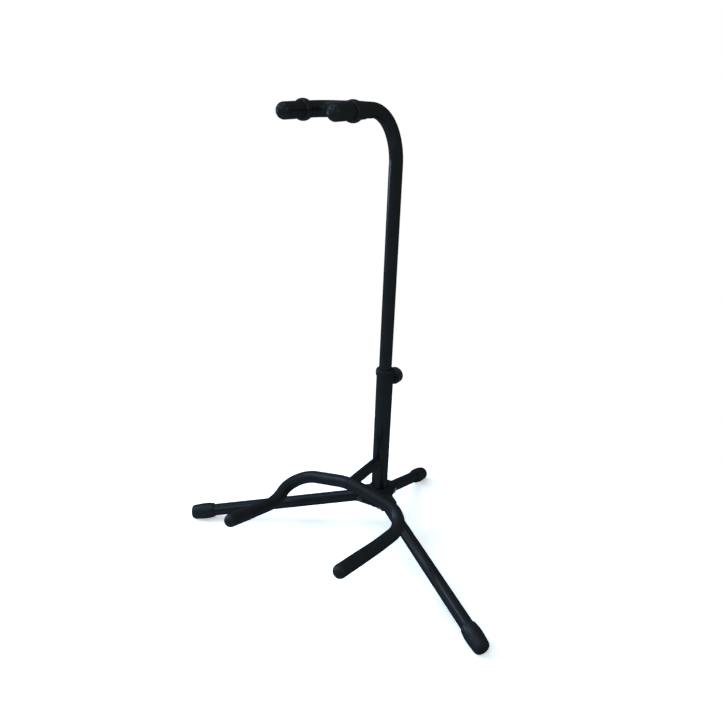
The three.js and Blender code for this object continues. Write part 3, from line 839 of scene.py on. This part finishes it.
def makeKnob(look):
    seat, neck, neckEdge = look["seat"], look["neck"], look["neckEdge"]
    start = seat + look["neckLength"]
    end = start + look["grip"]
    radius, edge = look["radius"], look["edge"]

    def flutes(distance, angle, size):
        if size > look["shapedFrom"] and start <= distance <= end:
            wave = 0.5 + 0.5 * math.cos(look["flutes"] * angle)
            fade = min(1, (distance - start) / edge, (end - distance) / edge)
            size -= look["fluteDepth"] * max(0, fade) * wave ** 3
        return size * math.cos(angle), size * math.sin(angle)

    beside = edge + look["besideEdge"]
    profile = [[look["boreEnd"], 0], [look["boreEnd"], look["bore"]], [seat, look["bore"]]]
    profile += [[seat, neck - neckEdge], [seat + neckEdge, neck], [start, neck]]
    profile += firstEdge(start, radius, edge, look["edgeSteps"])
    profile += [[d, radius] for d in evenly(start + beside, end - beside, look["step"])]
    profile += lastEdge(end, radius, edge, look["edgeSteps"])
    profile += [[end - depth, inner] for depth, inner in look["face"]]
    route = acrossMast(clamp["height"])
    obj = turnAlong("height_knob_body", route, profile, look["sides"], flutes)
    settle(obj, knobPlastic, "clamp_knob", ["height_knob"])


makeBoss(boss)
makeKnob(knob)
print("height clamp made")


# Yoke

yoke = {
    **sleeve, "radius": 9.2, "bore": 5.8, "shapedFrom": 6.8, "step": 1.4,
    "wrinkleLength": 4.6, "swell": 0.08, "phase": 2, "bends": [20, 20],
    "forward": 122.6, "height": 628.6, "halfWidth": 33.2, "tipForward": 192, "droop": 3,
}
ring = {
    "radius": 12.1, "bore": 9.32, "width": 12, "forward": 158.8, "lip": 0.3, "crownSteps": 20,
    "nubs": 24, "nubDepth": 0.12, "shapedFrom": 9.82, "sides": 96, "half": 20,
}


def onYoke(x, y):  # a point in the yoke's drooping plane, from the middle of its cross bar
    droop = math.radians(yoke["droop"])
    out = y * math.cos(droop) - yoke["forward"]
    return fromMast(x, out, yoke["height"] + y * math.sin(droop))


def yokeRoute(side):  # from the other prong's tip to this one's
    prong = yoke["forward"] - yoke["tipForward"]
    wide = yoke["halfWidth"] * side
    marks = [onYoke(-wide, prong), onYoke(-wide, 0), onYoke(wide, 0), onYoke(wide, prong)]
    return bentRoute(marks, yoke["bends"])


def makeRing(name, side, look):
    centre, half, bore = look["half"], look["width"] / 2, look["bore"]
    brim = bore + look["lip"]
    rise = look["radius"] - brim

    def nubs(distance, angle, radius):  # faint moulded facets round the crown
        if radius > look["shapedFrom"]:
            radius -= look["nubDepth"] * (0.5 + 0.5 * math.cos(look["nubs"] * angle))
        return radius * math.cos(angle), radius * math.sin(angle)

    profile = [[centre - half, bore], [centre - half, brim]]
    for k in range(1, look["crownSteps"]):
        lift = math.pi * k / look["crownSteps"]
        profile.append([centre - half * math.cos(lift), brim + rise * math.sin(lift)])
    profile += [[centre + half, brim], [centre + half, bore], [centre - half, bore]]
    wide = yoke["halfWidth"] * side
    middle = onYoke(wide, yoke["forward"] - look["forward"])
    ahead = (middle - onYoke(wide, 0)).normalized()
    route = centredRoute(middle, ahead, centre)
    obj = turnAlong("yoke_ring_body_" + name, route, profile, look["sides"], nubs)
    settle(obj, ringRubber, "ring_" + name, ["yoke_ring_" + name])


for name, side in bothSides.items():
    phase, stand = yoke["phase"] + side, "yoke_sleeve_" + name
    makeSleeve("yoke_foam_" + name, yokeRoute(side), yoke, phase, "mast_upper", stand)
for name, side in bothSides.items():
    makeRing(name, side, ring)
print("yoke made")


# Finishes of the CAD pieces that stay

kept = {
    "cradle_tube": paint, "yoke_tube": paint, "upper_tube_guide": plastic, "strut_insert": zinc,
    "knob_screw": zinc,
}
for name, material in kept.items():
    for slot in nodes[name].material_slots:
        slot.material = material


# Floor and light, in metres and watts

studio = {
    "floor": (0.86, 0.87, 0.88), "floorRadius": 12, "floorSides": 64, "floorDrop": 0.0003,
    "floorGlow": 0.45, "plainSpan": (0.35, 0.75),  # past this span the floor is plain white
    "sky": (1, 1, 1), "ambient": (0.86, 0.86, 0.86), "ambientPower": 0.16,
    "target": (0, 0, 0.25),
    "lamps": {
        "window": {
            "place": (-1.42, -0.57, 1.59), "size": (0.9, 0.6),
            "power": 36, "tint": (0.52, 0.70, 1.0),
        },
        "high": {
            "place": (-0.97, 0.24, 2.03), "size": (0.9, 0.6),
            "power": 8, "tint": (0.52, 0.70, 1.0),
        },
        "low": {
            "place": (-1.93, -0.48, 0.51), "size": (0.8, 0.5),
            "power": 48, "tint": (0.56, 0.71, 1.0),
        },
        "front": {
            "place": (-0.19, -1.52, 1.59), "size": (0.7, 0.7),
            "power": 13, "tint": (0.55, 0.84, 1.0),
        },
        "above": {
            "place": (-0.14, -0.39, 2.26), "size": (0.8, 0.8),
            "power": 12, "tint": (0.74, 0.87, 1.0),
        },
        "right": {
            "place": (1.63, -0.59, 1.30), "size": (0.8, 0.8),
            "power": 8, "tint": (0.88, 1.00, 0.84),
        },
    },
}


def seenRays(tree):  # 1 for what the camera sees, straight, mirrored or through glass
    path = tree.nodes.new("ShaderNodeLightPath")
    result = path.outputs["Is Camera Ray"]
    for kind in ("Is Glossy Ray", "Is Transmission Ray"):
        most = tree.nodes.new("ShaderNodeMath")
        most.operation = "MAXIMUM"
        tree.links.new(result, most.inputs[0])
        tree.links.new(path.outputs[kind], most.inputs[1])
        result = most.outputs[0]
    return result


def makeFloor(look):
    angles = [2 * math.pi * k / look["floorSides"] for k in range(look["floorSides"])]
    reach = look["floorRadius"]
    edge = [(reach * math.cos(angle), reach * math.sin(angle), 0) for angle in angles]
    floor = newObject("floor", edge, [tuple(range(look["floorSides"]))])
    floor.location.z = -look["floorDrop"]
    finish = Finish("pale_floor")
    finish.tree.nodes.remove(finish.shader)
    output = next(node for node in finish.tree.nodes if node.type == "OUTPUT_MATERIAL")
    matt = finish.add("ShaderNodeBsdfDiffuse")
    matt.inputs["Color"].default_value = (*look["floor"], 1)
    seen = seenRays(finish.tree)
    strength = finish.add("ShaderNodeMath", operation="MULTIPLY")
    finish.join(seen, strength.inputs[0])
    strength.inputs[1].default_value = look["floorGlow"]
    glow = finish.add("ShaderNodeEmission")
    finish.join(strength.outputs[0], glow.inputs["Strength"])
    lit = finish.add("ShaderNodeAddShader")
    finish.join(matt.outputs[0], lit.inputs[0])
    finish.join(glow.outputs[0], lit.inputs[1])
    white = finish.add("ShaderNodeEmission")
    distance = finish.add("ShaderNodeVectorMath", operation="LENGTH")
    finish.join(finish.place, distance.inputs[0])
    share = finish.add("ShaderNodeMath", operation="MULTIPLY")
    far = finish.rescale(distance.outputs["Value"], look["plainSpan"], (0, 1))
    finish.join(far, share.inputs[0])
    finish.join(seen, share.inputs[1])
    mix = finish.add("ShaderNodeMixShader")
    finish.join(share.outputs[0], mix.inputs[0])
    finish.join(lit.outputs[0], mix.inputs[1])
    finish.join(white.outputs[0], mix.inputs[2])
    finish.join(mix.outputs[0], output.inputs["Surface"])
    floor.data.materials.append(finish.material)


def makeSky(look):
    world = bpy.data.worlds.new("studio")
    bpy.context.scene.world = world
    world.use_nodes = True
    tree = world.node_tree
    tree.nodes.clear()
    seen = tree.nodes.new("ShaderNodeBackground")
    seen.inputs["Color"].default_value = (*look["sky"], 1)
    ambient = tree.nodes.new("ShaderNodeBackground")
    ambient.inputs["Color"].default_value = (*look["ambient"], 1)
    ambient.inputs["Strength"].default_value = look["ambientPower"]
    mix = tree.nodes.new("ShaderNodeMixShader")
    tree.links.new(seenRays(tree), mix.inputs[0])
    tree.links.new(ambient.outputs[0], mix.inputs[1])
    tree.links.new(seen.outputs[0], mix.inputs[2])
    output = tree.nodes.new("ShaderNodeOutputWorld")
    tree.links.new(mix.outputs[0], output.inputs["Surface"])


def makeLamps(look):
    for name, lamp in look["lamps"].items():
        data = bpy.data.lights.new(name, "AREA")
        data.shape = "RECTANGLE"
        data.size, data.size_y = lamp["size"]
        data.energy = lamp["power"]
        data.color = lamp["tint"]
        obj = bpy.data.objects.new(name, data)
        obj.location = lamp["place"]
        obj.rotation_mode = "QUATERNION"
        aim = Vector(look["target"]) - Vector(lamp["place"])
        obj.rotation_quaternion = aim.to_track_quat("-Z", "Y")
        bpy.context.scene.collection.objects.link(obj)


makeFloor(studio)
makeSky(studio)
makeLamps(studio)
bpy.context.scene.view_settings.view_transform = "Standard"
print("floor and light made")
